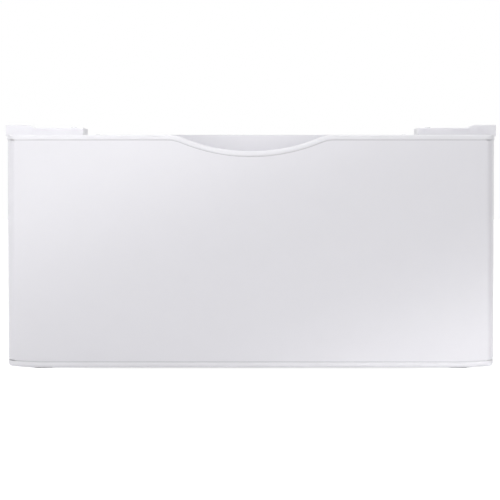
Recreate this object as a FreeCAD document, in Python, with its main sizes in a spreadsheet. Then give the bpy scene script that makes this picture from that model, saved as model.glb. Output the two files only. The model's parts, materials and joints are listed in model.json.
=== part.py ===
"""Laundry pedestal: a steel cabinet on four screw feet, with one drawer on ball-bearing slides.

Frame: millimetres, +Z up, +X to the right seen from the front, the drawer opens towards -Y.
The origin is on the floor, under the middle of the pedestal.
"""

import FreeCAD, Part
import math
import os

import Sketcher

V = FreeCAD.Vector

# ---------------------------------------------------------------- driving dimensions
DIMENSIONS = [
    # cabinet
    ("cabinet_width", 681, "over the side panels, for a 27 inch laundry machine"),
    ("overall_depth", 711, "drawer face to the back of the rear panel"),
    ("base_height", 20, "floor to the cabinet's underside, feet screwed right in"),
    ("sheet", 1, "cabinet and drawer sheet steel"),
    ("front_flange", 14, "width of the side panels' front and rear flanges"),
    ("edge_flange", 25, "width of the side panels' top and bottom flanges"),
    ("rail_depth", 34, "depth of the top rails"),
    ("rail_height", 24, "height of the top rails"),
    ("bottom_rail_height", 29, "height of the bottom rails"),
    ("rail_lip", 11, "width of the rails' return lips"),
    ("rail_end_gap", 0.3, "rail end to side panel"),
    ("emboss_margin", 90, "cabinet side to the rear panel's pressed field"),
    ("emboss_depth", 4, "depth of the rear panel's pressed field"),
    ("emboss_corner", 22, "corner radius of the pressed field"),
    # corner plates that carry the appliance
    ("plate_wall", 2.5, "walls of the corner plates"),
    ("plate_depth", 100, "corner plate behind the cabinet's front"),
    ("plate_hang", 3, "how far a corner plate hooks down over the cabinet"),
    ("shelf_width", 31, "raised outer shelf of a corner plate"),
    ("shelf_rise", 13, "cabinet top to the top of the raised shelf"),
    ("ramp_width", 8.5, "slope from the shelf down to the flat"),
    ("flat_width", 69, "lower flat of a corner plate"),
    ("flat_rise", 8.8, "cabinet top to the top of the flat"),
    ("plate_corner", 6, "corner radius of the flat"),
    ("plate_edge", 1, "bevel along the corner plates' front edges"),
    ("rib_spacing", 22, "stiffening ribs inside the corner plates"),
    ("rib_wall", 1.8, "thickness of those ribs"),
    ("mark_height", 3.4, "moulded recesses in a corner plate's front"),
    ("mark_depth", 1.2, "how deep they are"),
    ("slot_inset", 55.5, "cabinet side to the appliance bolt slot's middle"),
    ("slot_setback", 52, "cabinet front to the slot's centre line"),
    ("slot_width", 13, "appliance bolt slot, across"),
    ("slot_length", 25, "appliance bolt slot, end to end"),
    # feet
    ("foot_inset_side", 45, "cabinet side to the foot's axis"),
    ("foot_inset_front", 80, "cabinet front to the foot's axis"),
    ("foot_bracket_sheet", 2.5, "foot bracket steel"),
    ("bracket_reach", 94, "foot bracket, along each side"),
    ("bracket_corner", 12, "rounded free corner of a foot bracket"),
    ("bracket_wall", 26, "height of the foot bracket's upright walls"),
    ("stud_diameter", 9.88, "M10 levelling stud, over its thread"),
    ("stud_clearance", 0.06, "stud to nut, on the radius"),
    ("foot_travel", 15, "how far a foot screws out"),
    ("nut_flats", 17, "nuts and foot collar, across the flats"),
    ("lock_nut_height", 6, "room for a lock nut under the bracket"),
    ("weld_nut_height", 8, "weld nut on the bracket"),
    ("collar_height", 4, "hexagon collar on the foot stud"),
    ("pad_flats", 38, "foot pad, across its flats"),
    ("pad_rim", 5, "height of the foot pad's straight rim"),
    ("pivot_diameter", 8, "stud's lower end, in the pad"),
    ("pivot_clearance", 0.05, "stud's lower end to the pad's socket"),
    ("pad_floor", 5, "rubber under the stud's lower end"),
    # drawer front
    ("front_lift", 8, "floor to the drawer front's lower edge"),
    ("front_height", 323, "drawer front, lower to upper edge"),
    ("front_thickness", 42, "drawer front, face to back"),
    ("bumper_thickness", 2.2, "rubber bumpers on the cabinet's front"),
    ("bumper_gap", 0.3, "bumper to closed drawer front"),
    ("bumper_width", 8, "rubber bumpers"),
    ("bumper_height", 16, "rubber bumpers"),
    ("bumper_setback", 40, "cabinet's top or underside to a bumper"),
    ("deck_rise", 1.5, "drawer front's upper edge to the cabinet's top"),
    ("face_inset", 4.2, "cabinet side to the face panel's side"),
    ("trim_inset", 2.5, "cabinet side to the end of the top trim"),
    ("foot_trim_inset", 4, "cabinet side to the end of the bottom trim"),
    ("face_corner", 10, "radius of the face panel's upright edges"),
    ("seam", 0.9, "shadow gap between face panel and trims"),
    ("top_band", 7, "height of the top trim's band"),
    ("bottom_band", 8, "height of the bottom trim's band"),
    ("band_round", 5, "rounding of the top trim's front edge"),
    ("foot_round", 4.5, "rounding of the bottom trim's front edge"),
    ("foot_corner", 6, "rounded lower corners of the drawer front"),
    ("lip_thickness", 8, "pull lip, front to back"),
    ("tongue", 8, "overlap of the trims behind the face panel"),
    ("tongue_thickness", 2, "thickness of those tongues"),
    ("trim_wall", 2.5, "wall of the moulded trims"),
    ("liner_thickness", 2, "moulded back of the drawer front"),
    ("liner_drop", 3, "drawer front's edges to the liner's edges"),
    ("liner_corner", 8, "corner radius of the liner"),
    ("liner_margin", 46, "liner's edge to its pressed field"),
    ("liner_field", 3, "depth of the liner's pressed field"),
    ("dip_half_width", 116.5, "centre to where the upper edge starts to dip"),
    ("dip_depth", 23, "how deep the upper edge dips for the hand"),
    ("dip_blend", 60, "radius of the dip's shoulders"),
    ("end_rise", 2.8, "how much the lower edge rises at its ends"),
    ("end_rise_length", 55, "over what length it rises"),
    ("cup_wall", 1.5, "wall of the hand pocket"),
    ("cup_depth", 60, "upper edge to the pocket's floor"),
    ("cup_gap", 0.2, "pocket to trim"),
    ("stiffener_width", 44, "upright stiffeners inside the drawer front"),
    ("stiffener_spacing", 400, "between the two stiffeners"),
    # drawer box
    ("box_rear_gap", 68, "closed drawer box to the rear panel"),
    ("box_bottom", 54, "floor to the drawer box's underside"),
    ("box_top", 300, "floor to the drawer box's upper edge"),
    ("box_flange", 12, "flanges that join the box's panels"),
    ("box_hem", 10, "width of the rolled upper edge"),
    ("hem_drop", 8, "height of the rolled upper edge"),
    ("floor_gap", 0.3, "drawer floor to the box's sides"),
    ("bead_width", 30, "pressed stiffening beads in the drawer floor"),
    ("bead_height", 3, "height of those beads"),
    ("bead_slope", 4, "width of a bead's sloping side"),
    # slides
    ("slide_setback", 5, "cabinet front to the slide"),
    ("slide_rear_gap", 80.5, "slide's rear end to the rear panel"),
    ("slide_height", 150, "floor to the slide's centre line"),
    ("slide_sheet", 1.2, "steel of the slide's members"),
    ("ball_diameter", 4, "bearing balls"),
    ("race_clearance", 0.3, "ball to race, on the radius"),
    ("cage_sheet", 0.5, "steel of the ball cages"),
    ("member_gap", 0.12, "inner race to the drawer member's web"),
    ("cage_margin", 12, "end of a ball cage to its last ball"),
    ("cage_shift", 4, "middle of a closed cage, in front of the slide's middle"),
    ("outer_ball_height", 19.2, "outer ball rows, above and below the centre line"),
    ("bracket_sheet", 1.5, "slide mounting channel steel"),
    ("bracket_depth", 15, "slide mounting channel, cabinet side to slide"),
    ("bracket_extra", 20, "mounting channel's length behind the slide"),
    ("bracket_face", 60, "height of the mounting channel's face"),
    ("bracket_foot", 15, "width of the mounting channel's feet"),
    ("lever_length", 72, "release lever"),
    ("lever_height", 9, "release lever"),
    ("lever_thickness", 3, "release lever"),
    ("lever_setback", 40, "slide's front end to the lever's front end"),
    ("lever_pin", 4, "diameter of the lever's pivot pin"),
    ("lever_pin_clearance", 0.06, "pivot pin to lever, on the radius"),
]
BALLS_PER_ROW = 3
FLOOR_BEADS = 4
RACE_WRAP = 15  # degrees by which the outer race hooks round its balls
INNER_START = -65  # degrees at which the drawer member's race begins
RACE_TURN = 45  # degrees at which the middle member turns from one ball row to the other


# ---------------------------------------------------------------- sizes bound to the sheet
class Size:
    """A length in millimetres, together with its formula over the sheet's cells."""

    def __init__(self, value, formula):
        self.value = float(value)
        self.formula = formula

    def __add__(self, other):
        other = size(other)
        return Size(self.value + other.value, f"({self.formula} + {other.formula})")

    def __sub__(self, other):
        other = size(other)
        return Size(self.value - other.value, f"({self.formula} - {other.formula})")

    def __mul__(self, other):
        other = size(other)
        return Size(self.value * other.value, f"({self.formula} * {other.formula})")

    def __truediv__(self, other):
        other = size(other)
        return Size(self.value / other.value, f"({self.formula} / {other.formula})")

    def __radd__(self, other):
        return size(other) + self

    def __rsub__(self, other):
        return size(other) - self

    def __rmul__(self, other):
        return size(other) * self

    def __neg__(self):
        return Size(-self.value, f"(-1 * {self.formula})")


def size(number):
    return number if isinstance(number, Size) else Size(number, f"{number:.9f}")


class Sheet:
    """The driving dimensions, each read as an attribute that is a Size."""

    def __init__(self, doc):
        cells = doc.addObject("Spreadsheet::Sheet", "sizes")
        for row, (name, value, note) in enumerate(DIMENSIONS, start=1):
            cells.set(f"A{row}", name)
            cells.set(f"B{row}", str(value))
            cells.set(f"C{row}", note)
            cells.setAlias(f"B{row}", name)
            setattr(self, name, Size(value, f"sizes.{name}"))


doc = FreeCAD.newDocument("laundry_pedestal")
d = Sheet(doc)
doc.recompute()
PIECES = []


def bind(thing, prop, length):
    thing.setExpression(prop, size(length).formula)


def cos_sin(degrees):
    return math.cos(math.radians(degrees)), math.sin(math.radians(degrees))


# ---------------------------------------------------------------- drawing helpers
ROLE = {"X": "YZ_Plane", "Y": "XZ_Plane", "Z": "XY_Plane"}


def new_body(label):
    body = doc.addObject("PartDesign::Body", label)
    body.Label = label
    return body


def keep(piece, label=None):
    """Marks a finished piece, which is written to its own file."""
    if label:
        piece.Label = label
    PIECES.append(piece)
    return piece


def draw(body, axis, at, corners=(), circles=()):
    """A sketch square to an axis at a place along it, with one outline and any circles.

    A corner is (x, y), or (x, y, radius, turn) where an arc leads to it, and turn is 1 for an
    arc that runs anticlockwise. Square to X the sketch's own axes are Y and Z, square to Y they
    are X and Z, and square to Z they are X and Y.
    """
    sketch = body.newObject("Sketcher::SketchObject", f"{body.Name}_outline")
    plane = next(f for f in body.Origin.OriginFeatures if f.Role == ROLE[axis])
    sketch.AttachmentSupport = [(plane, "")]
    sketch.MapMode = "FlatFace"
    at = size(at)
    bind(sketch, "AttachmentOffset.Base.z", -at if axis == "Y" else at)
    points = [V(size(c[0]).value, size(c[1]).value, 0) for c in corners]
    count = len(corners)
    lines = []
    for i in range(count):
        start, end, spec = points[i], points[(i + 1) % count], corners[(i + 1) % count]
        if len(spec) == 2:
            lines.append(Part.LineSegment(start, end))
        else:
            lines.append(arc_between(start, end, size(spec[2]).value, spec[3]))
    if lines:
        sketch.addGeometry(lines, False)
    for i in range(count):
        start = first_point(corners[(i + 1) % count])
        before_end = 3 - first_point(corners[i])
        meet = Sketcher.Constraint("Coincident", (i - 1) % count, before_end, i, start)
        sketch.addConstraint(meet)
        place(sketch, i, start, corners[i][0], corners[i][1])
        spec = corners[(i + 1) % count]
        if len(spec) == 4:
            radius = size(spec[2])
            limit(sketch, Sketcher.Constraint("Radius", i, radius.value), radius)
    for x, y, radius in circles:
        radius = size(radius)
        centre = V(size(x).value, size(y).value, 0)
        index = sketch.addGeometry(Part.Circle(centre, V(0, 0, 1), radius.value), False)
        place(sketch, index, 3, x, y)
        limit(sketch, Sketcher.Constraint("Radius", index, radius.value), radius)
    return sketch


def first_point(corner):
    """Which end of the edge that leads to a corner it starts from: a clockwise arc is kept
    the other way round."""
    return 2 if len(corner) == 4 and corner[3] < 0 else 1


def arc_between(start, end, radius, turn):
    middle, chord = (start + end) / 2, end - start
    height = math.sqrt(max(radius**2 - (chord.Length / 2) ** 2, 0))
    side = V(-chord.y, chord.x, 0).normalize() * turn
    centre = middle + side * height
    angles = [math.atan2(p.y - centre.y, p.x - centre.x) for p in (start, end)]
    return Part.ArcOfCircle(Part.Circle(centre, V(0, 0, 1), radius), *angles[::turn])


def limit(sketch, constraint, length):
    index = sketch.addConstraint(constraint)
    sketch.setExpression(f"Constraints[{index}]", length.formula)


def place(sketch, index, point, x, y):
    for kind, length in (("DistanceX", size(x)), ("DistanceY", size(y))):
        limit(sketch, Sketcher.Constraint(kind, -1, 1, index, point, length.value), length)


def pad(body, axis, start, end, corners=(), circles=()):
    """Adds the outline to the body, from start to end along the axis."""
    feature = body.newObject("PartDesign::Pad", f"{body.Name}_pad")
    feature.Profile = draw(body, axis, start, corners, circles)
    bind(feature, "Length", size(end) - start)
    feature.Reversed = axis == "Y"
    body.Tip = feature
    doc.recompute()
    return feature


def cut(body, axis, start, end, corners=(), circles=()):
    """Removes the outline from the body, from start to end along the axis."""
    before = body.Shape.Volume
    feature = body.newObject("PartDesign::Pocket", f"{body.Name}_cut")
    feature.Profile = draw(body, axis, start, corners, circles)
    bind(feature, "Length", size(end) - start)
    feature.Reversed = axis != "Y"
    body.Tip = feature
    doc.recompute()
    if not body.Shape.Volume < before - 1e-6:
        raise ValueError(f"a cut in {body.Label} removes nothing")
    return feature


def dress(kind, prop, body, length, chosen):
    base = body.Tip
    names = [f"Edge{n}" for n, e in enumerate(base.Shape.Edges, start=1) if chosen(e)]
    if not names:
        raise ValueError(f"no edge to work on in {body.Label}")
    feature = body.newObject(f"PartDesign::{kind}", f"{body.Name}_{kind.lower()}")
    feature.Base = (base, names)
    bind(feature, prop, length)
    body.Tip = feature
    doc.recompute()
    return feature


def fillet(body, radius, chosen):
    """Rounds the edges of the body's last feature that chosen(edge) picks."""
    return dress("Fillet", "Radius", body, radius, chosen)


def chamfer(body, width, chosen):
    """Bevels the edges of the body's last feature that chosen(edge) picks."""
    return dress("Chamfer", "Size", body, width, chosen)


def rectangle(x0, y0, x1, y1):
    return [(x0, y0), (x1, y0), (x1, y1), (x0, y1)]


def rounded(x0, y0, x1, y1, r):
    """A rectangle with four round corners."""
    return [
        (x0 + r, y0, r, 1),
        (x1 - r, y0),
        (x1, y0 + r, r, 1),
        (x1, y1 - r),
        (x1 - r, y1, r, 1),
        (x0 + r, y1),
        (x0, y1 - r, r, 1),
        (x0, y0 + r),
    ]


def obround(x, y, length, width):
    """A slot with round ends, its length along the sketch's first axis."""
    r = size(width) / 2
    reach = size(length) / 2 - r
    return [
        (x - reach, y - r, r, 1),
        (x + reach, y - r),
        (x + reach + r, y, r, 1),
        (x + reach, y + r, r, 1),
        (x - reach, y + r),
        (x - reach - r, y, r, 1),
    ]


def mirrored(source, label, normal, base_y=0):
    """The same piece for the other side or the other end of the pedestal."""
    copy = doc.addObject("Part::Mirroring", label)
    copy.Source = source
    copy.Normal = normal
    bind(copy, "Base.y", base_y)
    return keep(copy, label)


def box(name, x0, y0, z0, x1, y1, z1):
    thing = doc.addObject("Part::Box", name)
    for prop, low, high in (("Length", x0, x1), ("Width", y0, y1), ("Height", z0, z1)):
        bind(thing, prop, size(high) - low)
    for prop, low in (("x", x0), ("y", y0), ("z", z0)):
        bind(thing, f"Placement.Base.{prop}", low)
    return thing


def stand(thing, x, y, z):
    for prop, value in (("x", x), ("y", y), ("z", z)):
        bind(thing, f"Placement.Base.{prop}", value)
    return thing


def cylinder(name, radius, x, y, z0, z1):
    thing = doc.addObject("Part::Cylinder", name)
    bind(thing, "Radius", radius)
    bind(thing, "Height", size(z1) - z0)
    return stand(thing, x, y, z0)


def hexagon(name, flats, x, y, z0, z1):
    thing = doc.addObject("Part::Prism", name)
    thing.Polygon = 6
    bind(thing, "Circumradius", size(flats) / math.sqrt(3))
    bind(thing, "Height", size(z1) - z0)
    return stand(thing, x, y, z0)


def less(name, base, tool):
    thing = doc.addObject("Part::Cut", name)
    thing.Base, thing.Tool = base, tool
    return thing


def joined(name, things):
    thing = doc.addObject("Part::MultiFuse", name)
    thing.Shapes = things
    thing.Refine = True
    return thing


def group(label, things):
    thing = doc.addObject("Part::Compound", label)
    thing.Links = things
    return keep(thing, label)


# ---------------------------------------------------------------- the pedestal's main planes
half_width = d.cabinet_width / 2
y_face = -d.overall_depth / 2
y_rear = d.overall_depth / 2
y_front_back = y_face + d.front_thickness
y_cabinet = y_front_back + d.bumper_thickness + d.bumper_gap
y_back = y_rear - d.sheet
y_box = y_back - d.box_rear_gap
y_middle = (y_cabinet + y_back) / 2
y_plates = (y_cabinet + y_rear) / 2
z_base = d.base_height
z_edge = d.front_lift + d.front_height
z_deck = z_edge + d.deck_rise
web = half_width - d.sheet
slot_x = half_width - d.slot_inset
slot_y = y_cabinet + d.slot_setback
rail_y = y_cabinet + d.sheet
rail_top = z_deck - d.sheet
foot_x = half_width - d.foot_inset_side
foot_y = y_cabinet + d.foot_inset_front
foot_rear_y = y_middle * 2 - foot_y
bracket_z = z_base + d.sheet * 2
nut_top = bracket_z + d.foot_bracket_sheet + d.weld_nut_height
pad_top = bracket_z - d.lock_nut_height - d.collar_height
plate_out = half_width + d.plate_wall
shelf_end = -plate_out + d.shelf_width
flat_start = shelf_end + d.ramp_width
flat_end = flat_start + d.flat_width
shelf_top = z_deck + d.shelf_rise
flat_top = z_deck + d.flat_rise
slide_face = web - d.bracket_depth


# ---------------------------------------------------------------- cabinet shell
def side_panel():
    """The left side: one folded sheet, with flanges on all four edges."""
    body = new_body("left_side_panel")
    inner = -half_width + d.front_flange
    outline = [
        (-half_width, y_cabinet),
        (inner, y_cabinet),
        (inner, y_cabinet + d.sheet),
        (-web, y_cabinet + d.sheet),
        (-web, y_back - d.sheet),
        (inner, y_back - d.sheet),
        (inner, y_back),
        (-half_width, y_back),
    ]
    pad(body, "Z", z_base, z_deck, outline)
    flange = rectangle(
        -web, y_cabinet + d.sheet, -half_width + d.edge_flange, y_back - d.sheet
    )
    pad(body, "Z", z_base, z_base + d.sheet, flange)
    pad(body, "Z", z_deck - d.sheet, z_deck, flange)
    outer = -half_width.value

    def upright(edge):
        b = edge.BoundBox
        return b.ZLength > 100 and abs(b.XMin - outer) < 0.01 and b.XLength < 0.01

    fillet(body, d.sheet * 1.5, upright)
    keep(body)
    mirrored(body, "right_side_panel", (1, 0, 0))


def rear_panel():
    """A flat sheet with a shallow field pressed into it, which stops it drumming."""
    body = new_body("rear_panel")
    pad(body, "Y", y_back, y_rear, rectangle(-half_width, z_base, half_width, z_deck))
    x, low, high = half_width - d.emboss_margin, z_base + 70, z_deck - 60
    t = d.sheet
    field = rounded(-x, low, x, high, d.emboss_corner)
    dish = rounded(-x + t, low + t, x - t, high - t, d.emboss_corner - t)
    pad(body, "Y", y_back - d.emboss_depth, y_back, field)
    cut(body, "Y", y_rear - d.emboss_depth, y_rear, dish)
    keep(body)


def rails():
    """Channels that tie the two sides together, at the top and the bottom."""
    end = web - d.rail_end_gap
    t, y, z = d.sheet, rail_y, rail_top
    low = rail_top - d.rail_height
    top = new_body("front_top_rail")
    channel = [
        (y, low),
        (y + d.rail_lip, low),
        (y + d.rail_lip, low + t),
        (y + t, low + t),
        (y + t, z - t),
        (y + d.rail_depth - t, z - t),
        (y + d.rail_depth - t, z - d.rail_lip),
        (y + d.rail_depth, z - d.rail_lip),
        (y + d.rail_depth, z),
        (y, z),
    ]
    pad(top, "X", -end, end, channel)
    keep(top)
    mirrored(top, "rear_top_rail", (0, 1, 0), y_middle)

    bottom = new_body("front_bottom_rail")
    z = z_base + t
    high = z + d.bottom_rail_height
    channel = [
        (y, z),
        (y + d.edge_flange, z),
        (y + d.edge_flange, z + t),
        (y + t, z + t),
        (y + t, high - t),
        (y + d.rail_lip, high - t),
        (y + d.rail_lip, high),
        (y, high),
    ]
    pad(bottom, "X", -end, end, channel)
    keep(bottom)
    mirrored(bottom, "rear_bottom_rail", (0, 1, 0), y_middle)


def corner_plates():
    """Moulded blocks on the four top corners. The appliance stands on their raised outer
    shelves, and is bolted down through the slots in their lower flats."""
    body = new_body("corner_plate_front_left")
    t = d.plate_wall
    front, back = y_cabinet - t, y_cabinet + d.plate_depth
    outside = [
        (-plate_out, z_deck - d.plate_hang),
        (-half_width, z_deck - d.plate_hang),
        (-half_width, z_deck),
        (flat_end, z_deck),
        (flat_end, flat_top),
        (flat_start, flat_top),
        (shelf_end, shelf_top),
        (-plate_out, shelf_top),
    ]
    pad(body, "Y", front, back, outside)
    inside = [
        (-half_width, z_deck),
        (flat_end - t, z_deck),
        (flat_end - t, flat_top - t),
        (flat_start - t / 3, flat_top - t),
        (shelf_end - t / 3, shelf_top - t),
        (-half_width, shelf_top - t),
    ]
    cut(body, "Y", y_cabinet, back - t, inside)
    skirt = rectangle(-plate_out, z_deck - d.plate_hang, flat_end, z_deck)
    pad(body, "Y", front, y_cabinet, skirt)
    slot = obround(-slot_x, slot_y, d.slot_length, d.slot_width)
    cut(body, "Z", flat_top - t, flat_top, slot)
    for n in (1, 2, 3):
        y = y_cabinet + d.rib_spacing * n
        rib = [
            (-half_width, z_deck),
            (shelf_end, z_deck),
            (shelf_end, shelf_top - t * 1.5),
            (-half_width, shelf_top - t * 0.5),
        ]
        pad(body, "Y", y, y + d.rib_wall, rib)
    z = (z_deck + flat_top) / 2
    for x, reach in ((-slot_x - 10, 12.5), (flat_end - 11, 5), (shelf_end - 10, 4.5)):
        mark = rectangle(x - reach, z - 1, x + reach, z - 1 + d.mark_height)
        cut(body, "Y", front, front + d.mark_depth, mark)
    edge_x, edge_y = flat_end.value, back.value

    def inner_corner(edge):
        b = edge.BoundBox
        at_corner = abs(b.XMin - edge_x) < 0.01 and abs(b.YMin - edge_y) < 0.01
        return at_corner and b.XLength + b.YLength < 0.01

    fillet(body, d.plate_corner, inner_corner)
    face, low = front.value, z_deck.value

    def front_top(edge):
        b = edge.BoundBox
        on_front = abs(b.YMin - face) < 0.01 and b.YLength < 0.01
        above = b.ZMin > (flat_top - 0.01).value or b.ZMin > low + 3 and b.XLength > 30
        return on_front and above and b.XLength > 5

    chamfer(body, d.plate_edge, front_top)
    keep(body)
    right = mirrored(body, "corner_plate_front_right", (1, 0, 0))
    mirrored(body, "corner_plate_rear_left", (0, 1, 0), y_plates)
    mirrored(right, "corner_plate_rear_right", (0, 1, 0), y_plates)


# ---------------------------------------------------------------- feet
def hexagon_outline(x, y, flats):
    radius = size(flats) / math.sqrt(3)
    corners = [cos_sin(60 * n) for n in range(6)]
    return [(x + radius * c, y + radius * s) for c, s in corners]


def foot_brackets():
    """Pressed corners on the bottom rails, each with its weld nut for a foot's stud."""
    body = new_body("foot_bracket_front_left")
    t, gap = d.foot_bracket_sheet, d.rail_end_gap
    x0, y0 = -web + gap, rail_y + d.sheet + gap
    x1, y1 = x0 + d.bracket_reach, y0 + d.bracket_reach
    low, high = bracket_z, bracket_z + d.bracket_wall
    pad(body, "Z", low, low + t, rectangle(x0, y0, x1, y1))
    side_wall = [(y0, low), (y1, low), (y1, low + t), (y0 + t * 12, high), (y0, high)]
    pad(body, "X", x0, x0 + t, side_wall)
    front_wall = [(x0, low), (x1, low), (x1, low + t), (x0 + t * 12, high), (x0, high)]
    pad(body, "Y", y0, y0 + t, front_wall)
    nut = hexagon_outline(-foot_x, foot_y, d.nut_flats)
    pad(body, "Z", low + t, nut_top, nut)
    bore = d.stud_diameter / 2 + d.stud_clearance
    cut(body, "Z", low, nut_top, circles=[(-foot_x, foot_y, bore)])
    edge_x, edge_y = x1.value, y1.value

    def free_corner(edge):
        b = edge.BoundBox
        at_corner = abs(b.XMin - edge_x) < 0.01 and abs(b.YMin - edge_y) < 0.01
        return at_corner and b.XLength + b.YLength < 0.01

    fillet(body, d.bracket_corner, free_corner)
    keep(body)
    right = mirrored(body, "foot_bracket_front_right", (1, 0, 0))
    mirrored(body, "foot_bracket_rear_left", (0, 1, 0), y_middle)
    mirrored(right, "foot_bracket_rear_right", (0, 1, 0), y_middle)


def feet():
    """Screw feet: a threaded stud that turns in a moulded pad, which stands still."""
    collar_top = pad_top + d.collar_height
    stud_top = nut_top + d.foot_travel
    pivot = d.pivot_diameter / 2
    places = []
    for end, y in (("front", foot_y), ("rear", foot_rear_y)):
        for side, x in (("left", -foot_x), ("right", foot_x)):
            places.append((f"{end}_{side}", x, y))
    for where, x, y in places:
        body = new_body(f"foot_pad_{where}")
        pad(body, "Z", 0, pad_top, hexagon_outline(x, y, d.pad_flats))
        top = pad_top.value
        chamfer(body, pad_top - d.pad_rim, lambda e: e.BoundBox.ZMin > top - 0.01)
        socket = (x, y, pivot + d.pivot_clearance)
        cut(body, "Z", d.pad_floor, pad_top, circles=[socket])
        keep(body)
        end = cylinder(f"stud_end_{where}", pivot, x, y, d.pad_floor + 0.3, pad_top)
        collar = hexagon(f"stud_collar_{where}", d.nut_flats, x, y, pad_top, collar_top)
        rod = cylinder(f"stud_rod_{where}", d.stud_diameter / 2, x, y, pad_top, stud_top)
        keep(joined(f"foot_stud_{where}", [end, collar, rod]))


# ---------------------------------------------------------------- drawer front
def dip(drop):
    """The drawer front's upper edge, lowered by drop, from left to right: straight, then a
    rounded shoulder, the wide dip for the hand, and the other shoulder."""
    half, deep, blend = d.dip_half_width, d.dip_depth, d.dip_blend
    scoop = (half * half + deep * deep) / (deep * 2) - blend
    reach = scoop + blend
    join_x = half - (blend - drop) * half / reach
    join_z = z_edge - blend + (blend - drop) * (reach - deep) / reach
    return [
        (-half, z_edge - drop),
        (-join_x, join_z, blend - drop, -1),
        (join_x, join_z, scoop + drop, 1),
        (half, z_edge - drop, blend - drop, -1),
    ]


def backwards(corners):
    """The same outline followed the other way."""
    turned = []
    for i in range(len(corners) - 1, -1, -1):
        x, y = corners[i][:2]
        after = corners[i + 1] if i + 1 < len(corners) else ()
        turned.append((x, y, after[2], -after[3]) if len(after) == 4 else (x, y))
    return turned


def foot_line(lift, half):
    """The drawer front's lower edge, raised by lift, from left to right."""
    z = d.front_lift + lift
    start = half - d.end_rise_length
    rise, run = d.end_rise, d.end_rise_length
    radius = (run * run + rise * rise) / (rise * 2)
    return [
        (-half, z + rise),
        (-start, z, radius, 1),
        (start, z),
        (half, z + rise, radius, 1),
    ]


def crest(x):
    """Height of the upper edge at x, in millimetres."""
    half, deep, blend = d.dip_half_width.value, d.dip_depth.value, d.dip_blend.value
    scoop = (half**2 + deep**2) / (2 * deep) - blend
    join = half * scoop / (scoop + blend)
    if abs(x) >= half:
        return z_edge.value
    if abs(x) > join:
        return z_edge.value - blend + math.sqrt(blend**2 - (half - abs(x)) ** 2)
    return z_edge.value - deep + scoop - math.sqrt(scoop**2 - x**2)


def top_trim():
    """Moulded band along the top, rolled over its front edge. It dips into the pull lip, and
    is open underneath on both sides of the hand pocket."""
    body = new_body("top_trim")
    end, wall = half_width - d.trim_inset, d.trim_wall
    band = d.top_band
    rear = y_front_back - d.liner_thickness
    lip_y = y_face + d.lip_thickness
    upper = [(end, z_edge)] + backwards(dip(0)) + [(-end, z_edge)]
    lower = [(-end, z_edge - band)] + dip(band) + [(end, z_edge - band)]
    pad(body, "Y", y_face, lip_y, lower + upper)
    pad(body, "Y", lip_y, rear, rectangle(-end, z_edge - band, end, z_edge))
    cut(body, "Z", z_edge - band, z_edge, pocket_outline(0))
    for side in (-1, 1):
        inner, outer = side * (d.dip_half_width + wall), side * (end - wall)
        x0, x1 = (outer, inner) if side < 0 else (inner, outer)
        hollow = rectangle(x0, lip_y, x1, rear - wall)
        cut(body, "Z", z_edge - band, z_edge - wall, hollow)
    start = y_face + d.sheet
    half = half_width - d.face_inset - d.face_corner
    low = band + d.tongue
    tongue = [(-half, z_edge - low)] + dip(low) + [(half, z_edge - low)]
    tongue += [(half, z_edge - band)] + backwards(dip(band)) + [(-half, z_edge - band)]
    pad(body, "Y", start, start + d.tongue_thickness, tongue)

    def along_crest(y):
        def chosen(edge):
            b = edge.BoundBox
            middle = edge.valueAt((edge.FirstParameter + edge.LastParameter) / 2)
            level = abs(b.YMin - y.value) < 0.01 and b.YLength < 0.01
            return level and abs(middle.z - crest(middle.x)) < 0.1 and b.XLength > 1

        return chosen

    fillet(body, d.band_round, along_crest(y_face))
    keep(body)


def pocket_outline(inset):
    """The hand pocket's plan as an outline: its chord, then its bow in two arcs."""
    chord_y = y_face + d.lip_thickness + inset
    far_y = y_front_back - d.liner_thickness - d.trim_wall - inset
    half = d.dip_half_width - inset * 3
    bow = far_y - chord_y
    radius = (half * half + bow * bow) / (bow * 2)
    return [
        (-half, chord_y, radius, 1),
        (half, chord_y),
        (0, far_y, radius, 1),
    ]


def pocket_front(inset):
    """The hand pocket seen from the front: open at the top, with a bowed floor."""
    low = z_edge - d.cup_depth + inset
    half = d.dip_half_width - inset * 3
    top = z_edge + inset
    bow = z_edge - low
    radius = (half * half + bow * bow) / (bow * 2)
    return [
        (-half, z_edge),
        (0, low, radius, 1),
        (half, z_edge, radius, 1),
        (half, top + 1),
        (-half, top + 1),
    ]


def prism(name, axis, start, end, corners):
    """An outline drawn out along an axis, to be combined with another."""
    body = new_body(name)
    pad(body, axis, start, end, corners)
    return body


def both(name, a, b):
    thing = doc.addObject("Part::Common", name)
    thing.Base, thing.Tool = a, b
    return thing


def handle_cup():
    """The hand pocket: a thin moulded bowl behind the pull lip."""
    low, high = z_edge - d.cup_depth, z_edge
    front, back = y_face, y_front_back
    gap, wall = d.cup_gap, d.cup_gap + d.cup_wall
    outer = both(
        "cup_outside",
        prism("cup_plan", "Z", low, high, pocket_outline(gap)),
        prism("cup_front", "Y", front, back, pocket_front(gap)),
    )
    inner = both(
        "cup_inside",
        prism("cup_inner_plan", "Z", low, high + 1, pocket_outline(wall)),
        prism("cup_inner_front", "Y", front, back, pocket_front(wall)),
    )
    shell = less("cup_shell", outer, inner)
    half = d.dip_half_width + 2
    sight = [(-half, z_edge - gap)] + dip(gap) + [(half, z_edge - gap)]
    sight += [(half, z_edge + 5), (-half, z_edge + 5)]
    lip_y = y_face + d.lip_thickness
    opening = prism("cup_sight", "Y", lip_y, lip_y + wall + 0.5, sight)
    keep(less("handle_cup", shell, opening))


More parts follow.
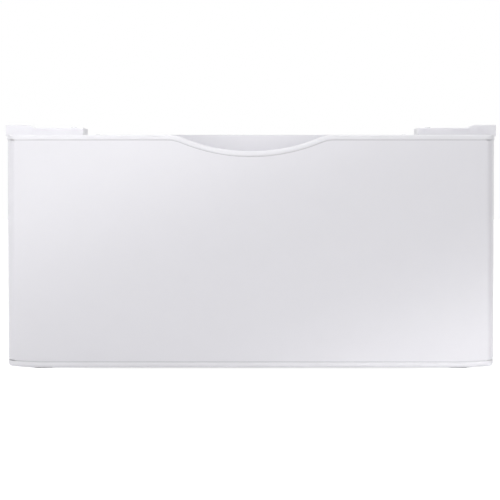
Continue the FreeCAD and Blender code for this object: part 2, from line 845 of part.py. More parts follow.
def face_panel():
    """Painted steel face, rolled back at both sides."""
    body = new_body("face_panel")
    x, r, t = half_width - d.face_inset, d.face_corner, d.sheet
    back = y_front_back - d.liner_thickness
    low, high = d.front_lift + d.bottom_band, z_edge - d.top_band
    plan = [
        (-x, back),
        (-x, y_face + r),
        (-x + r, y_face, r, 1),
        (x - r, y_face),
        (x, y_face + r, r, 1),
        (x, back),
        (x - t, back),
        (x - t, y_face + r),
        (x - r, y_face + t, r - t, -1),
        (-x + r, y_face + t),
        (-x + t, y_face + r, r - t, -1),
        (-x + t, back),
    ]
    pad(body, "Z", low, high, plan)
    drop = d.top_band + d.seam
    above = [(-x - 1, z_edge - drop)] + dip(drop) + [(x + 1, z_edge - drop)]
    above += [(x + 1, z_edge + 1), (-x - 1, z_edge + 1)]
    cut(body, "Y", y_face - 1, back + 1, above)
    below = [(x, low - 5), (-x, low - 5)]
    cut(body, "Y", y_face - 1, back + 1, foot_line(d.bottom_band + d.seam, x) + below)
    keep(body)


def bottom_trim():
    """Moulded channel along the bottom, with rounded lower corners."""
    body = new_body("bottom_trim")
    end = half_width - d.foot_trim_inset
    back = y_front_back - d.liner_thickness
    band, wall = d.bottom_band, d.trim_wall
    outline = foot_line(0, end) + backwards(foot_line(band, end))
    pad(body, "Y", y_face, back, outline)
    hollow = rectangle(-end + wall, y_face + wall * 2.5, end - wall, back - wall)
    floor = d.front_lift + d.end_rise + wall
    cut(body, "Z", floor, floor + band, hollow)
    half = half_width - d.face_inset - d.face_corner
    low, high = d.front_lift + band - 1, d.front_lift + band + d.end_rise + d.tongue
    tongue = rectangle(-half, low, half, high)
    pad(body, "Y", y_face + d.sheet, y_face + d.sheet + d.tongue_thickness, tongue)
    x_end, z_low = end.value, (d.front_lift + d.end_rise).value

    def lower_corner(edge):
        b = edge.BoundBox
        at_end = abs(abs(b.XMin) - x_end) < 0.01 and abs(b.ZMin - z_low) < 0.01
        return at_end and b.YLength > 10

    fillet(body, d.foot_corner, lower_corner)
    face = y_face.value
    middle_z = z_low + d.bottom_band.value / 2

    def front_foot(edge):
        b = edge.BoundBox
        flat = abs(b.YMin - face) < 0.01 and b.YLength < 0.01
        return flat and b.XLength > 1 and b.ZMin < z_low + 0.01 and b.ZMax < middle_z + 2

    fillet(body, d.foot_round, front_foot)
    keep(body)


def front_liner():
    """Inner sheet of the drawer front, stiffened by a field pressed into it."""
    body = new_body("front_liner")
    x, t = half_width - d.face_inset, d.liner_thickness
    low, high = d.front_lift + d.liner_drop, z_edge - d.liner_drop
    back, r, deep = y_front_back, d.liner_corner, d.liner_field
    pad(body, "Y", back - t, back, rounded(-x, low, x, high, r))
    left, bottom, right, top = [
        edge + side * d.liner_margin for edge, side in ((-x, 1), (low, 1), (x, -1), (high, -1.6))
    ]
    field = rounded(left, bottom, right, top, r)
    dish = rounded(left + t, bottom + t, right - t, top - t, r - t)
    pad(body, "Y", back - t - deep, back - t, field)
    cut(body, "Y", back - t - deep + t, back, dish)
    keep(body)


def front_stiffeners():
    """Two upright hat channels between the face panel and the liner."""
    half, t = d.stiffener_width / 2, d.sheet
    near, far = y_face + d.sheet, y_front_back - d.liner_thickness - d.liner_field
    low = d.front_lift + d.liner_drop + d.liner_margin
    high = z_edge - d.liner_drop - d.liner_margin * 1.6
    made = []
    for side in (-1, 1):
        x = d.stiffener_spacing / 2 * side
        body = new_body(f"stiffener_{'left' if side < 0 else 'right'}")
        hat = [
            (x - half, far - t),
            (x - half / 2 - t, far - t),
            (x - half / 2 - t, near),
            (x + half / 2 + t, near),
            (x + half / 2 + t, far - t),
            (x + half, far - t),
            (x + half, far),
            (x + half / 2, far),
            (x + half / 2, near + t),
            (x - half / 2, near + t),
            (x - half / 2, far),
            (x - half, far),
        ]
        pad(body, "Z", low, high, hat)
        made.append(body)
    group("front_stiffeners", made)


# ---------------------------------------------------------------- drawer box
def drawer_sides():
    """The drawer's left side: a folded sheet with a rolled upper edge."""
    body = new_body("drawer_left_side")
    x, t = -box_side, d.sheet
    front, back = y_front_back, y_box
    low, high, flange, hem = d.box_bottom, d.box_top, d.box_flange, d.box_hem
    profile = [
        (x, low),
        (x + flange, low),
        (x + flange, low + t),
        (x + t, low + t),
        (x + t, high - t),
        (x + hem - t, high - t),
        (x + hem - t, high - d.hem_drop),
        (x + hem, high - d.hem_drop),
        (x + hem, high),
        (x, high),
    ]
    pad(body, "Y", front, back, profile)
    for start, stop in ((front, front + t), (back - t, back)):
        pad(body, "Y", start, stop, rectangle(x + t, low + t, x + flange, high - t))
    keep(body)
    mirrored(body, "drawer_right_side", (1, 0, 0))


def drawer_back():
    """The drawer's back, with its upper edge rolled backwards."""
    body = new_body("drawer_back")
    x, t, y = box_side, d.sheet, y_box
    low, high, hem = d.box_bottom, d.box_top, d.box_hem
    profile = [
        (y, low),
        (y + t, low),
        (y + t, high - t),
        (y + hem - t, high - t),
        (y + hem - t, high - d.hem_drop),
        (y + hem, high - d.hem_drop),
        (y + hem, high),
        (y, high),
    ]
    pad(body, "X", -x, x, profile)
    keep(body)


def drawer_floor():
    """The drawer's floor, stiffened by beads pressed up along it."""
    body = new_body("drawer_floor")
    t, gap = d.sheet, d.floor_gap
    x = box_side - t - gap
    low = d.box_bottom + t
    pitch = x * 2 / FLOOR_BEADS
    under, over = [(-x, low)], [(-x, low + t)]
    for n in range(FLOOR_BEADS):
        middle = -x + pitch * (n + 0.5)
        for line, z, grow in ((under, low, 0), (over, low + t, t / 2)):
            foot = d.bead_width / 2 + grow
            crown = foot - d.bead_slope
            line.append((middle - foot, z))
            line.append((middle - crown, z + d.bead_height))
            line.append((middle + crown, z + d.bead_height))
            line.append((middle + foot, z))
    under.append((x, low))
    over.append((x, low + t))
    front = y_front_back + t + gap
    back = y_box - t - gap
    pad(body, "Y", front, back, under + over[::-1])
    keep(body)


def drawer_bumpers():
    """Rubber bumpers on the cabinet's front flanges, which the drawer front closes against."""
    x1 = half_width - d.face_inset - 1
    x0 = x1 - d.bumper_width
    y0, y1 = y_cabinet - d.bumper_thickness, y_cabinet
    made = []
    for left, right in ((-x1, -x0), (x0, x1)):
        for z in (z_base + d.bumper_setback, z_deck - d.bumper_setback - d.bumper_height):
            name = f"bumper_{len(made) + 1}"
            made.append(box(name, left, y0, z, right, y1, z + d.bumper_height))
    group("drawer_bumpers", made)


# ---------------------------------------------------------------- slides
slide_x = -slide_face
slide_y = y_cabinet + d.slide_setback
slide_end = y_back - d.slide_rear_gap
cage_length = (slide_end - slide_y) / 2
cage_start = (slide_y + slide_end - cage_length) / 2 - d.cage_shift
slide_z = d.slide_height
ball = d.ball_diameter / 2
race = ball + d.race_clearance
race_back = race + d.slide_sheet
cage_web = d.slide_sheet + d.race_clearance
middle_web = cage_web + d.cage_sheet + d.race_clearance
outer_ball_x = middle_web + race_back
outer_ball_z = d.outer_ball_height
TURN_COS, TURN_SIN = cos_sin(RACE_TURN)
inner_ball_x = outer_ball_x + (race + race_back) * TURN_COS
inner_ball_z = outer_ball_z - (race + race_back) * TURN_SIN
START_COS = cos_sin(INNER_START)[0]
slide_thickness = inner_ball_x + race_back * START_COS + d.slide_sheet + d.member_gap
box_side = slide_face - slide_thickness


def round_a_ball(x, z, radius, degrees):
    """A point on a race, at an angle round its ball row."""
    c, s = cos_sin(degrees)
    return x + radius * c, z + radius * s


def channel(upper):
    """A slide member's whole section from its upper half, which runs from the web's outer
    side round the top to the web's inner side. The lower half is its reflection."""
    lower = []
    for x, z, *arc in upper:
        lower.append((x, -z, arc[0], -arc[1]) if arc else (x, -z))
    whole = upper + backwards(lower)
    return [(slide_x + x, slide_z + z, *arc) for x, z, *arc in whole]


def slide_outer():
    """The member on the cabinet: a channel whose edges hook round the outer balls."""
    t, bend = d.slide_sheet, d.slide_sheet
    top = outer_ball_z + race_back
    tip = round_a_ball(outer_ball_x, outer_ball_z, race_back, RACE_WRAP)
    inner_tip = round_a_ball(outer_ball_x, outer_ball_z, race, RACE_WRAP)
    upper = [
        (size(0), top - bend),
        (bend, top, bend, -1),
        (outer_ball_x, top),
        (*tip, race_back, -1),
        inner_tip,
        (outer_ball_x, top - t, race, 1),
        (t, top - t),
    ]
    body = new_body("slide_outer_left")
    pad(body, "Y", slide_y, slide_end, channel(upper))
    keep(body)
    mirrored(body, "slide_outer_right", (1, 0, 0))


def slide_middle():
    """The floating member: its edges pass under the outer balls and over the inner ones."""
    t, bend = d.slide_sheet, d.slide_sheet
    start = -120
    first = round_a_ball(outer_ball_x, outer_ball_z, race, start)
    turn_top = round_a_ball(outer_ball_x, outer_ball_z, race, -RACE_TURN)
    tip = round_a_ball(inner_ball_x, inner_ball_z, race_back, RACE_TURN)
    inner_tip = round_a_ball(inner_ball_x, inner_ball_z, race, RACE_TURN)
    turn_under = round_a_ball(inner_ball_x, inner_ball_z, race, 180 - RACE_TURN)
    last = round_a_ball(outer_ball_x, outer_ball_z, race_back, start)
    upper = [
        (middle_web, first[1] - bend),
        (middle_web + bend, first[1], bend, -1),
        first,
        (*turn_top, race, 1),
        (*tip, race_back, -1),
        inner_tip,
        (*turn_under, race, 1),
        (*last, race_back, -1),
        (middle_web + t, last[1]),
    ]
    body = new_body("slide_middle_left")
    pad(body, "Y", slide_y, slide_end, channel(upper))
    keep(body)
    mirrored(body, "slide_middle_right", (1, 0, 0))


def slide_inner():
    """The member on the drawer: a channel whose edges run under the inner balls."""
    t, bend, web_x = d.slide_sheet, d.slide_sheet, slide_thickness
    start = INNER_START
    first = round_a_ball(inner_ball_x, inner_ball_z, race, start)
    tip = round_a_ball(inner_ball_x, inner_ball_z, race, -140)
    under_tip = round_a_ball(inner_ball_x, inner_ball_z, race_back, -140)
    last = round_a_ball(inner_ball_x, inner_ball_z, race_back, start)
    upper = [
        (web_x, first[1] - bend),
        (web_x - bend, first[1], bend, 1),
        first,
        (*tip, race, -1),
        under_tip,
        (*last, race_back, 1),
        (web_x - t, last[1]),
    ]
    body = new_body("slide_inner_left")
    pad(body, "Y", slide_y, slide_end, channel(upper))
    keep(body)
    mirrored(body, "slide_inner_right", (1, 0, 0))


def ball_places():
    """Along the slide, where the balls of a row lie."""
    first = cage_start + d.cage_margin
    pitch = (cage_length - d.cage_margin * 2) / (BALLS_PER_ROW - 1)
    return [first + pitch * n for n in range(BALLS_PER_ROW)]


def ball_cage(label, web_x, ball_x, ball_z, wing_end):
    """A channel of thin strip whose wings have a window for each ball."""
    body = new_body(f"{label}_left")
    t = d.cage_sheet
    top = ball_z + t / 2
    upper = [(web_x, top), (wing_end, top), (wing_end, top - t), (web_x + t, top - t)]
    pad(body, "Y", cage_start, cage_start + cage_length, channel(upper))
    room = ball + 0.2
    windows = []
    for y in ball_places():
        x = slide_x + ball_x
        windows.append(rectangle(x - room, y - room, x + room, y + room))
    for window in windows:
        cut(body, "Z", slide_z - top - 1, slide_z + top + 1, window)
    keep(body)
    mirrored(body, f"{label}_right", (1, 0, 0))


def ball_pattern():
    """One ball, as the common part of cubes turned about each axis: dozens of them stay
    light, and their faces are flat."""
    side = d.ball_diameter * 0.86
    turns = [(V(0, 0, 1), 0), (V(1, 0, 0), 45), (V(0, 1, 0), 45)]
    cubes = []
    for n, (axis, angle) in enumerate(turns):
        cube = doc.addObject("Part::Box", f"ball_cube_{n}")
        for prop in ("Length", "Width", "Height"):
            bind(cube, prop, side)
        turn = FreeCAD.Rotation(axis, angle)
        cube.Placement = FreeCAD.Placement(V(), turn)
        corner = turn.multVec(V(-0.5, -0.5, -0.5))
        stand(cube, side * corner.x, side * corner.y, side * corner.z)
        cubes.append(cube)
    common = doc.addObject("Part::MultiCommon", "ball")
    common.Shapes = cubes
    return common


def ball_rows(label, pattern, ball_x, ball_z):
    """The balls of one cage, above and below the slide's centre line."""
    balls = []
    for y in ball_places():
        for z in (slide_z + ball_z, slide_z - ball_z):
            link = doc.addObject("App::Link", f"{label}_{len(balls) + 1}")
            link.LinkedObject = pattern
            balls.append(stand(link, slide_x + ball_x, y, z))
    rows = group(f"{label}_left", balls)
    mirrored(rows, f"{label}_right", (1, 0, 0))


def slide_brackets():
    """Hat channels on the cabinet's sides, which bring the slides in past the front flanges."""
    body = new_body("slide_bracket_left")
    t, wall, face = d.bracket_sheet, -web, slide_x
    half, foot = d.bracket_face / 2, d.bracket_foot
    z = slide_z
    profile = [
        (wall, z - half - foot),
        (wall + t, z - half - foot),
        (wall + t, z - half),
        (face, z - half),
        (face, z + half),
        (wall + t, z + half),
        (wall + t, z + half + foot),
        (wall, z + half + foot),
        (wall, z + half - t),
        (face - t, z + half - t),
        (face - t, z - half + t),
        (wall, z - half + t),
    ]
    start, stop = slide_y, slide_end + d.bracket_extra
    pad(body, "Y", start, stop, profile)
    keep(body)
    mirrored(body, "slide_bracket_right", (1, 0, 0))


def release_levers():
    """Levers in the drawer members, pushed up on one side and down on the other to lift the
    drawer off its slides."""
    thickness, half = d.lever_thickness, d.lever_height / 2
    x1 = slide_x + slide_thickness - d.slide_sheet - 0.3
    x0 = x1 - thickness
    y0 = slide_y + d.lever_setback
    y1 = y0 + d.lever_length
    pin_y = y0 + d.lever_length * 0.6
    z = slide_z
    body = new_body("release_lever_left")
    outline = [
        (y0, z - half / 2),
        (y0 + half, z - half),
        (pin_y - half, z - half),
        (y1, z - half / 2),
        (y1, z + half / 2),
        (pin_y - half, z + half),
        (y0 + half, z + half),
        (y0, z + half / 2),
    ]
    pad(body, "X", x0, x1, outline)
    hole = d.lever_pin / 2 + d.lever_pin_clearance
    cut(body, "X", x0, x1, circles=[(pin_y, z, hole)])
    keep(body)
    mirrored(body, "release_lever_right", (1, 0, 0))

    rivet = new_body("pivot_rivet_left")
    web_face = x1 + 0.3
    pad(rivet, "X", x0 - 0.3, web_face, circles=[(pin_y, z, d.lever_pin / 2)])
    other = doc.addObject("Part::Mirroring", "pivot_rivet_right")
    other.Source, other.Normal = rivet, (1, 0, 0)
    group("lever_rivets", [rivet, other])


# ---------------------------------------------------------------- build and write
def build():
    side_panel()
    rear_panel()
    rails()
    corner_plates()
    foot_brackets()
    feet()
    drawer_bumpers()
    top_trim()
    handle_cup()
    face_panel()
    bottom_trim()
    front_liner()
    front_stiffeners()
    drawer_sides()
    drawer_back()
    drawer_floor()
    slide_brackets()
    slide_outer()
    slide_middle()
    slide_inner()
    outer_wing = outer_ball_x + ball + 0.4
    inner_wing = inner_ball_x + ball + 0.4
    inner_cage_web = middle_web + d.slide_sheet + 1.1
    ball_cage("outer_cage", cage_web, outer_ball_x, outer_ball_z, outer_wing)
    ball_cage("inner_cage", inner_cage_web, inner_ball_x, inner_ball_z, inner_wing)
    pattern = ball_pattern()
    ball_rows("outer_balls", pattern, outer_ball_x, outer_ball_z)
    ball_rows("inner_balls", pattern, inner_ball_x, inner_ball_z)
    release_levers()
    doc.recompute()


def write():
    for thing in doc.Objects:
        if {"Invalid", "Error"} & set(thing.State):
            raise ValueError(f"{thing.Label} failed")
    os.makedirs("parts", exist_ok=True)
    for piece in PIECES:
        shape = piece.Shape
        if shape.isNull() or not shape.isValid() or not shape.Solids:
            raise ValueError(f"{piece.Label} has no sound shape")
        shape.exportStep(f"parts/{piece.Label}.step")


build()
write()
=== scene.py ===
"""Laundry pedestal with one full-width drawer: looks, detail pieces, camera and light."""
import json
import math

import bmesh
import bpy
from mathutils import Matrix, Vector


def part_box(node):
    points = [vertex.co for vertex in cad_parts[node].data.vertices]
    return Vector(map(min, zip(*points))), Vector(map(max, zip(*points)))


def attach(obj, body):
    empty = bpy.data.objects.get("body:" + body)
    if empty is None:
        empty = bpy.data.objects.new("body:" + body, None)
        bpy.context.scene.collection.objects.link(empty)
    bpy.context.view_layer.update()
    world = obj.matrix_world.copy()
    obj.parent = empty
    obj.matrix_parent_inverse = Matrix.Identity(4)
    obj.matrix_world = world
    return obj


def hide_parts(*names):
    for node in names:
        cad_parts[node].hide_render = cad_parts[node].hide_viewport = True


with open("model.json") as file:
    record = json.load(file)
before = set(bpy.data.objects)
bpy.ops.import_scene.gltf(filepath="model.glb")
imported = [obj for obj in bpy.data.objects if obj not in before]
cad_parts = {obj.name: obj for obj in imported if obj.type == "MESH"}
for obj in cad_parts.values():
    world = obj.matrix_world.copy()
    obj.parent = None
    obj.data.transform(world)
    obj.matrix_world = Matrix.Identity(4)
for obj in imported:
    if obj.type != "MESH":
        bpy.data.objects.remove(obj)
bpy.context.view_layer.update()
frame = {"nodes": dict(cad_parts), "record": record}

nodes = frame["nodes"]
SIDES = ("left", "right")
CORNERS = [f"{end}_{side}" for end in ("front", "rear") for side in SIDES]
scene = bpy.context.scene


# ---------------------------------------------------------------- camera
def aim_camera():
    """A long lens a little below the pedestal's top, tilted slightly down."""
    distance, height, pitch = 3.5, 0.265, 1.0
    to_the_left, view_width, sensor = 0.0012, 0.6919, 36
    data = bpy.data.cameras.new("camera")
    cam = bpy.data.objects.new("camera", data)
    scene.collection.objects.link(cam)
    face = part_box("face_panel")[0].y
    cam.location = (-to_the_left, face - distance, height)
    cam.rotation_euler = (math.radians(90 - pitch), 0, 0)
    data.sensor_width = sensor
    data.lens = sensor * distance / view_width
    data.shift_y = -0.047
    data.clip_end = 30
    scene.camera = cam


# ---------------------------------------------------------------- materials
# A noise mostly stays between these two values.
NOISE_LOW, NOISE_HIGH = 0.3, 0.7
# The Mix node's sockets: its factor, and the pair for colours or for plain values.
FACTOR, COLOUR_A, COLOUR_B, VALUE_A, VALUE_B = 0, 6, 7, 2, 3
# How deep the paint's textures are, in metres.
PEEL_DEPTH, GRAIN_DEPTH = 0.000003, 0.0000005


class Nodes:
    """A short way to write a material's node tree."""

    def __init__(self, name):
        self.material = bpy.data.materials.new(name)
        self.material.use_nodes = True
        self.tree = self.material.node_tree
        self.shader = self.tree.nodes["Principled BSDF"]

    def add(self, kind, links=None, **settings):
        node = self.tree.nodes.new("ShaderNode" + kind)
        for key, value in settings.items():
            setattr(node, key, value)
        for socket, source in (links or {}).items():
            target = node.inputs[socket]
            if isinstance(source, (int, float, tuple)):
                target.default_value = source
            else:
                self.tree.links.new(source, target)
        return node

    def place(self):
        """The object's own coordinates, in metres."""
        return self.add("TexCoord").outputs["Object"]

    def noise(self, scale, detail=2.0, rough=0.5, stretch=None):
        """Noise in the object's own coordinates, drawn out where stretch is given."""
        where = self.place()
        if stretch:
            where = self.add("Mapping", {"Vector": where, "Scale": stretch}).outputs[0]
        return self.add(
            "TexNoise", {"Vector": where, "Scale": scale, "Detail": detail, "Roughness": rough}
        ).outputs["Fac"]

    def spread(self, value, low, high):
        """A noise, spread over the range from low to high."""
        links = {"Value": value, "From Min": NOISE_LOW, "From Max": NOISE_HIGH}
        links.update({"To Min": low, "To Max": high})
        return self.add("MapRange", links).outputs[0]

    def tint(self, value, dark, light):
        """A colour between dark and light."""
        links = {COLOUR_A: (*dark, 1), COLOUR_B: (*light, 1), FACTOR: value}
        return self.add("Mix", links, data_type="RGBA").outputs[2]

    def bump(self, height, distance, strength=1.0, under=None):
        """A bumped normal, on top of another one where under is given."""
        links = {"Height": height, "Distance": distance, "Strength": strength}
        if under is not None:
            links["Normal"] = under
        return self.add("Bump", links).outputs[0]

    def set(self, **values):
        """Sets or links the shader's sockets and gives the finished material."""
        for name, value in values.items():
            socket = self.shader.inputs[name.replace("_", " ")]
            if isinstance(value, (int, float, tuple)):
                socket.default_value = value
            else:
                self.tree.links.new(value, socket)
        return self.material


def painted(name, colour, rough, peel, fine, coat=0.0):
    """Paint or moulded plastic: a hue that hardly varies, soft gloss and a faint skin texture."""
    m = Nodes(name)
    broad = m.spread(m.noise(26, 4, 0.6), 0, 1)
    dark = tuple(c * 0.992 for c in colour)
    skin = m.bump(m.noise(peel, 2), PEEL_DEPTH)
    grain = m.bump(m.noise(fine, 1), GRAIN_DEPTH, 1, skin)
    return m.set(
        Base_Color=m.tint(broad, dark, colour),
        Roughness=m.spread(m.noise(140, 3, 0.6), rough - 0.02, rough + 0.02),
        Normal=grain,
        Coat_Weight=coat,
        Coat_Roughness=0.12,
    )


def steel(name, colour, rough, cell=0.0, grain=(1, 1, 1)):
    """Metal with a fine grain and, where cell gives their scale, pale zinc crystal patches."""
    m = Nodes(name)
    lines = m.noise(900, 2, 0.5, grain)
    shade = m.noise(16, 3)
    if cell:
        patch = m.add("TexVoronoi", {"Vector": m.place(), "Scale": cell}).outputs["Color"]
        links = {FACTOR: 0.35, VALUE_A: shade, VALUE_B: patch}
        shade = m.add("Mix", links, data_type="FLOAT").outputs[0]
    dark = tuple(c * 0.82 for c in colour)
    return m.set(
        Base_Color=m.tint(m.spread(shade, 0, 1), dark, colour),
        Metallic=1.0,
        Roughness=m.spread(shade, rough - 0.04, rough + 0.06),
        Normal=m.bump(lines, 0.000008),
    )


def rubber(name, colour, rough):
    """Black rubber or plastic with paler dust on it."""
    m = Nodes(name)
    dust = m.spread(m.noise(60, 5, 0.65), 0, 1)
    pale = tuple(c * 1.9 + 0.01 for c in colour)
    return m.set(
        Base_Color=m.tint(dust, colour, pale),
        Roughness=m.spread(m.noise(120, 3), rough - 0.06, rough + 0.06),
        Normal=m.bump(m.noise(1500, 2), 0.00003),
    )


# No roughness range crosses 0.27, where the denoised picture would show blotches.
enamel = painted("baked enamel", (0.86, 0.851, 0.893), 0.30, 420, 2600, 0.25)
powder = painted("powder coat", (0.80, 0.80, 0.82), 0.46, 900, 3400)
moulded = painted("moulded plastic", (0.905, 0.898, 0.935), 0.32, 260, 3000)
zinc = steel("zinc plate", (0.66, 0.67, 0.69), 0.40, 130, (1, 0.05, 1))
bright = steel("machined steel", (0.72, 0.72, 0.73), 0.18)
# Painted shadow: a grey for the strips in the trims' seams, darker than the white around them to
# stand in for the seams' shade.
seam_shadow_paint = painted("painted seam shadow", (0.66, 0.66, 0.685), 0.55, 1200, 4000)
black_rubber = rubber("black rubber", (0.022, 0.022, 0.023), 0.72)
black_plastic = rubber("black plastic", (0.03, 0.03, 0.032), 0.5)
FINISH = {
    "white_enamel": enamel,
    "white_panel": powder,
    "white_moulding": moulded,
    "zinc_steel": zinc,
    "bright_steel": bright,
    "black_rubber": black_rubber,
    "black_plastic": black_plastic,
}


def finish_nodes():
    """Gives each CAD node the material that its slot stands for."""
    for part in frame["record"]["subparts"]:
        node = nodes[part["node"]]
        node.data.materials.clear()
        node.data.materials.append(FINISH[part["material_slot"]])


# ---------------------------------------------------------------- pieces in mesh code
MM = 0.001
HALF_HEX = math.pi / 6
# Points of one mesh that are closer than this, in metres, are the same point.
SAME_POINT, SAME_CAD_POINT = 1e-7, 1e-6


def standing(at, axis=(0, 0, 1)):
    """A place in millimetres, with its own Z along the axis."""
    turn = Vector((0, 0, 1)).rotation_difference(Vector(axis)).to_matrix().to_4x4()
    return Matrix.Translation(Vector(at) * MM) @ turn


def hexagon(flats, angle):
    """Distance from a hexagon's middle to its side, in the direction of the angle."""
    return flats / 2 / math.cos(angle % (HALF_HEX * 2) - HALF_HEX)


class Form:
    """A mesh put together from closed skins, each made of rings of points in millimetres."""

    def __init__(self):
        self.bm = bmesh.new()

    def skin(self, rings, place=Matrix()):
        """Joins the rings one after the other. A ring of one point is a tip."""
        made = [[self.bm.verts.new(place @ (Vector(p) * MM)) for p in ring] for ring in rings]
        for a, b in zip(made, made[1:]):
            count = max(len(a), len(b))
            for i in range(count):
                j = (i + 1) % count
                corners = (a[i % len(a)], a[j % len(a)], b[j % len(b)], b[i % len(b)])
                self.bm.faces.new(list(dict.fromkeys(corners)))

    def turned(self, profile, place, steps=32, cut=None):
        """Turns (radius, height) points about the place's Z. A radius may be a function of
        the angle, and cut lowers the skin by a depth that depends on x and y."""
        rings = []
        for radius, height in profile:
            if radius == 0:
                rings.append([(0, 0, height - (cut(0, 0) if cut else 0))])
                continue
            ring = []
            for n in range(steps):
                angle = math.tau * n / steps
                r = radius(angle) if callable(radius) else radius
                x, y = r * math.cos(angle), r * math.sin(angle)
                ring.append((x, y, height - (cut(x, y) if cut else 0)))
            rings.append(ring)
        self.skin(rings, place)

    def done(self, name, body, slot, replaced=(), crease=35, finish=None):
        """Makes the piece and puts it on its body. It has its slot's material, or finish."""
        bmesh.ops.remove_doubles(self.bm, verts=self.bm.verts, dist=SAME_POINT)
        bmesh.ops.recalc_face_normals(self.bm, faces=self.bm.faces)
        mesh = bpy.data.meshes.new(name)
        self.bm.to_mesh(mesh)
        self.bm.free()
        mesh.shade_smooth()
        mesh.set_sharp_from_angle(angle=math.radians(crease))
        mesh.materials.append(finish or FINISH[slot])
        piece = bpy.data.objects.new(name, mesh)
        scene.collection.objects.link(piece)
        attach(piece, body)
        if replaced:
            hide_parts(*replaced)


def box_mm(node):
    """The lowest and highest corners of a node's box, in millimetres."""
    low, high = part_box(node)
    return low / MM, high / MM


def lumps(node):
    """The boxes of a node's separate solids, in millimetres, in a steady order."""
    bm = bmesh.new()
    bm.from_mesh(nodes[node].data)
    bmesh.ops.remove_doubles(bm, verts=bm.verts, dist=SAME_CAD_POINT)
    seen, found = set(), []
    for first in bm.verts:
        if first in seen:
            continue
        seen.add(first)
        group = [first]
        for vert in group:
            for edge in vert.link_edges:
                other = edge.other_vert(vert)
                if other not in seen:
                    seen.add(other)
                    group.append(other)
        points = [v.co / MM for v in group]
        low, high = (Vector(f(p[i] for p in points) for i in range(3)) for f in (min, max))
        found.append((low, high))
    bm.free()
    return sorted(found, key=lambda pair: tuple(round(c, 3) for c in pair[0]))


# ---------------------------------------------------------------- screws, rivets and welds
# The directions in which a fastener's head can point, and how far its underside sinks in.
UPWARDS, BACKWARDS = (0, 0, 1), (0, 1, 0)
BED = -0.05


def cross(radius, depth):
    """A cross recess: how deep it is at x, y."""
    arm, reach, slope = radius * 0.13, radius * 0.55, radius * 0.1

    def at(x, y):
        near, far = sorted((abs(x), abs(y)))
        off = max(near - arm, far - reach, 0) / slope
        return depth * max(0, 1 - off) * (1 - 0.45 * far / radius)

    return at


def pan_screw(form, place, radius=4.0, height=1.9):
    """A pan head with a cross recess."""
    crown_steps = 22
    profile = [(0, BED), (radius * 0.96, BED), (radius, 0.1)]
    for step in range(1, crown_steps + 1):
        share = 1 - step / crown_steps
        profile.append((radius * share, height * (1 - share**5) ** 0.5))
    recess = cross(radius, height * 0.7)

    def cut(x, y):
        return recess(x, y) if math.hypot(x, y) < radius * 0.8 else 0

    form.turned(profile[:3], place, 40)
    form.turned([(radius, 0.1)] + profile[3:], place, 40, cut)


def hex_screw(form, place, flats=7.0, height=2.2):
    """A hexagon head pressed in one piece with its washer."""
    washer, rise, cap = flats * 0.78, 0.7, flats * 0.54

    def side(angle):
        return min(hexagon(flats, angle), cap)

    def chamfer(angle):
        return side(angle) * 0.9

    profile = [(0, BED), (washer, BED), (washer, rise * 0.6), (washer * 0.97, rise)]
    profile += [(side, rise), (side, height * 0.88), (chamfer, height), (flats * 0.3, height)]
    profile += [(flats * 0.26, height - 0.3), (0, height - 0.4)]
    form.turned(profile, place, 48)


def rivet(form, place, radius=3.0, height=1.0):
    """A low round head with a dimple where its mandrel broke off."""
    dome_steps = 10
    profile = [(0, BED), (radius, BED)]
    for step in range(dome_steps - 1):
        share = step / dome_steps * math.pi / 2
        profile.append((radius * math.cos(share), height * math.sin(share)))
    profile += [(radius * 0.16, height * 0.75), (0, height * 0.7)]
    form.turned(profile, place, 28)


def weld(form, place, radius=3.2):
    """A spot weld: a shallow ring with a flat middle."""
    profile = [(0, BED), (radius, BED), (radius, 0.01), (radius * 0.88, 0.16)]
    profile += [(radius * 0.7, 0.04), (0, 0.03)]
    form.turned(profile, place, 24)


def fasteners(name, body, kind, slot, places, **sizes):
    """One piece made of many fasteners. Each place is a point and the head's direction."""
    form = Form()
    for at, axis in places:
        kind(form, standing(at, axis), **sizes)
    form.done(name, body, slot)


def spread_out(first, last, count):
    """Evenly spaced values from first to last."""
    return [first + (last - first) * n / (count - 1) for n in range(count)]


def toward_middle(corner):
    """The signs of the directions along X and Y that lead from a corner to the middle."""
    return (1 if "left" in corner else -1), (1 if "front" in corner else -1)


def rear_panel_screws():
    low, high = box_mm("rear_panel")
    side, foot, head = high.x - 7, low.z + 15, high.z - 13
    spots = [(x, z) for x in (-side, side) for z in spread_out(62, 288, 4)]
    spots += [(x, z) for x in spread_out(-270, 270, 5) for z in (foot, head)]
    places = [((x, high.y, z), BACKWARDS) for x, z in spots]
    fasteners("rear_panel_screws", "cabinet", hex_screw, "zinc_steel", places)


def slide_bracket_rivets():
    wall, end_margin, edge_margin = 1.5, 22, 7
    places = []
    for side, inward in zip(SIDES, (1, -1)):
        low, high = box_mm(f"slide_bracket_{side}")
        x = (low.x if inward > 0 else high.x) + inward * wall
        heights = (low.z + edge_margin, high.z - edge_margin)
        for y in spread_out(low.y + end_margin, high.y - end_margin, 5):
            places += [((x, y, z), (inward, 0, 0)) for z in heights]
    fasteners("slide_bracket_rivets", "cabinet", rivet, "zinc_steel", places)


def corner_plate_screws():
    margin, flat_below_shelf = 15, 4.2
    places = []
    for corner in CORNERS:
        low, high = box_mm(f"corner_plate_{corner}")
        across, back = toward_middle(corner)
        x = (high.x if across > 0 else low.x) - across * margin
        start = low.y if back > 0 else high.y
        z = high.z - flat_below_shelf
        places += [((x, start + back * step, z), UPWARDS) for step in (33, 86)]
    fasteners("corner_plate_screws", "cabinet", pan_screw, "zinc_steel", places, radius=4.4)


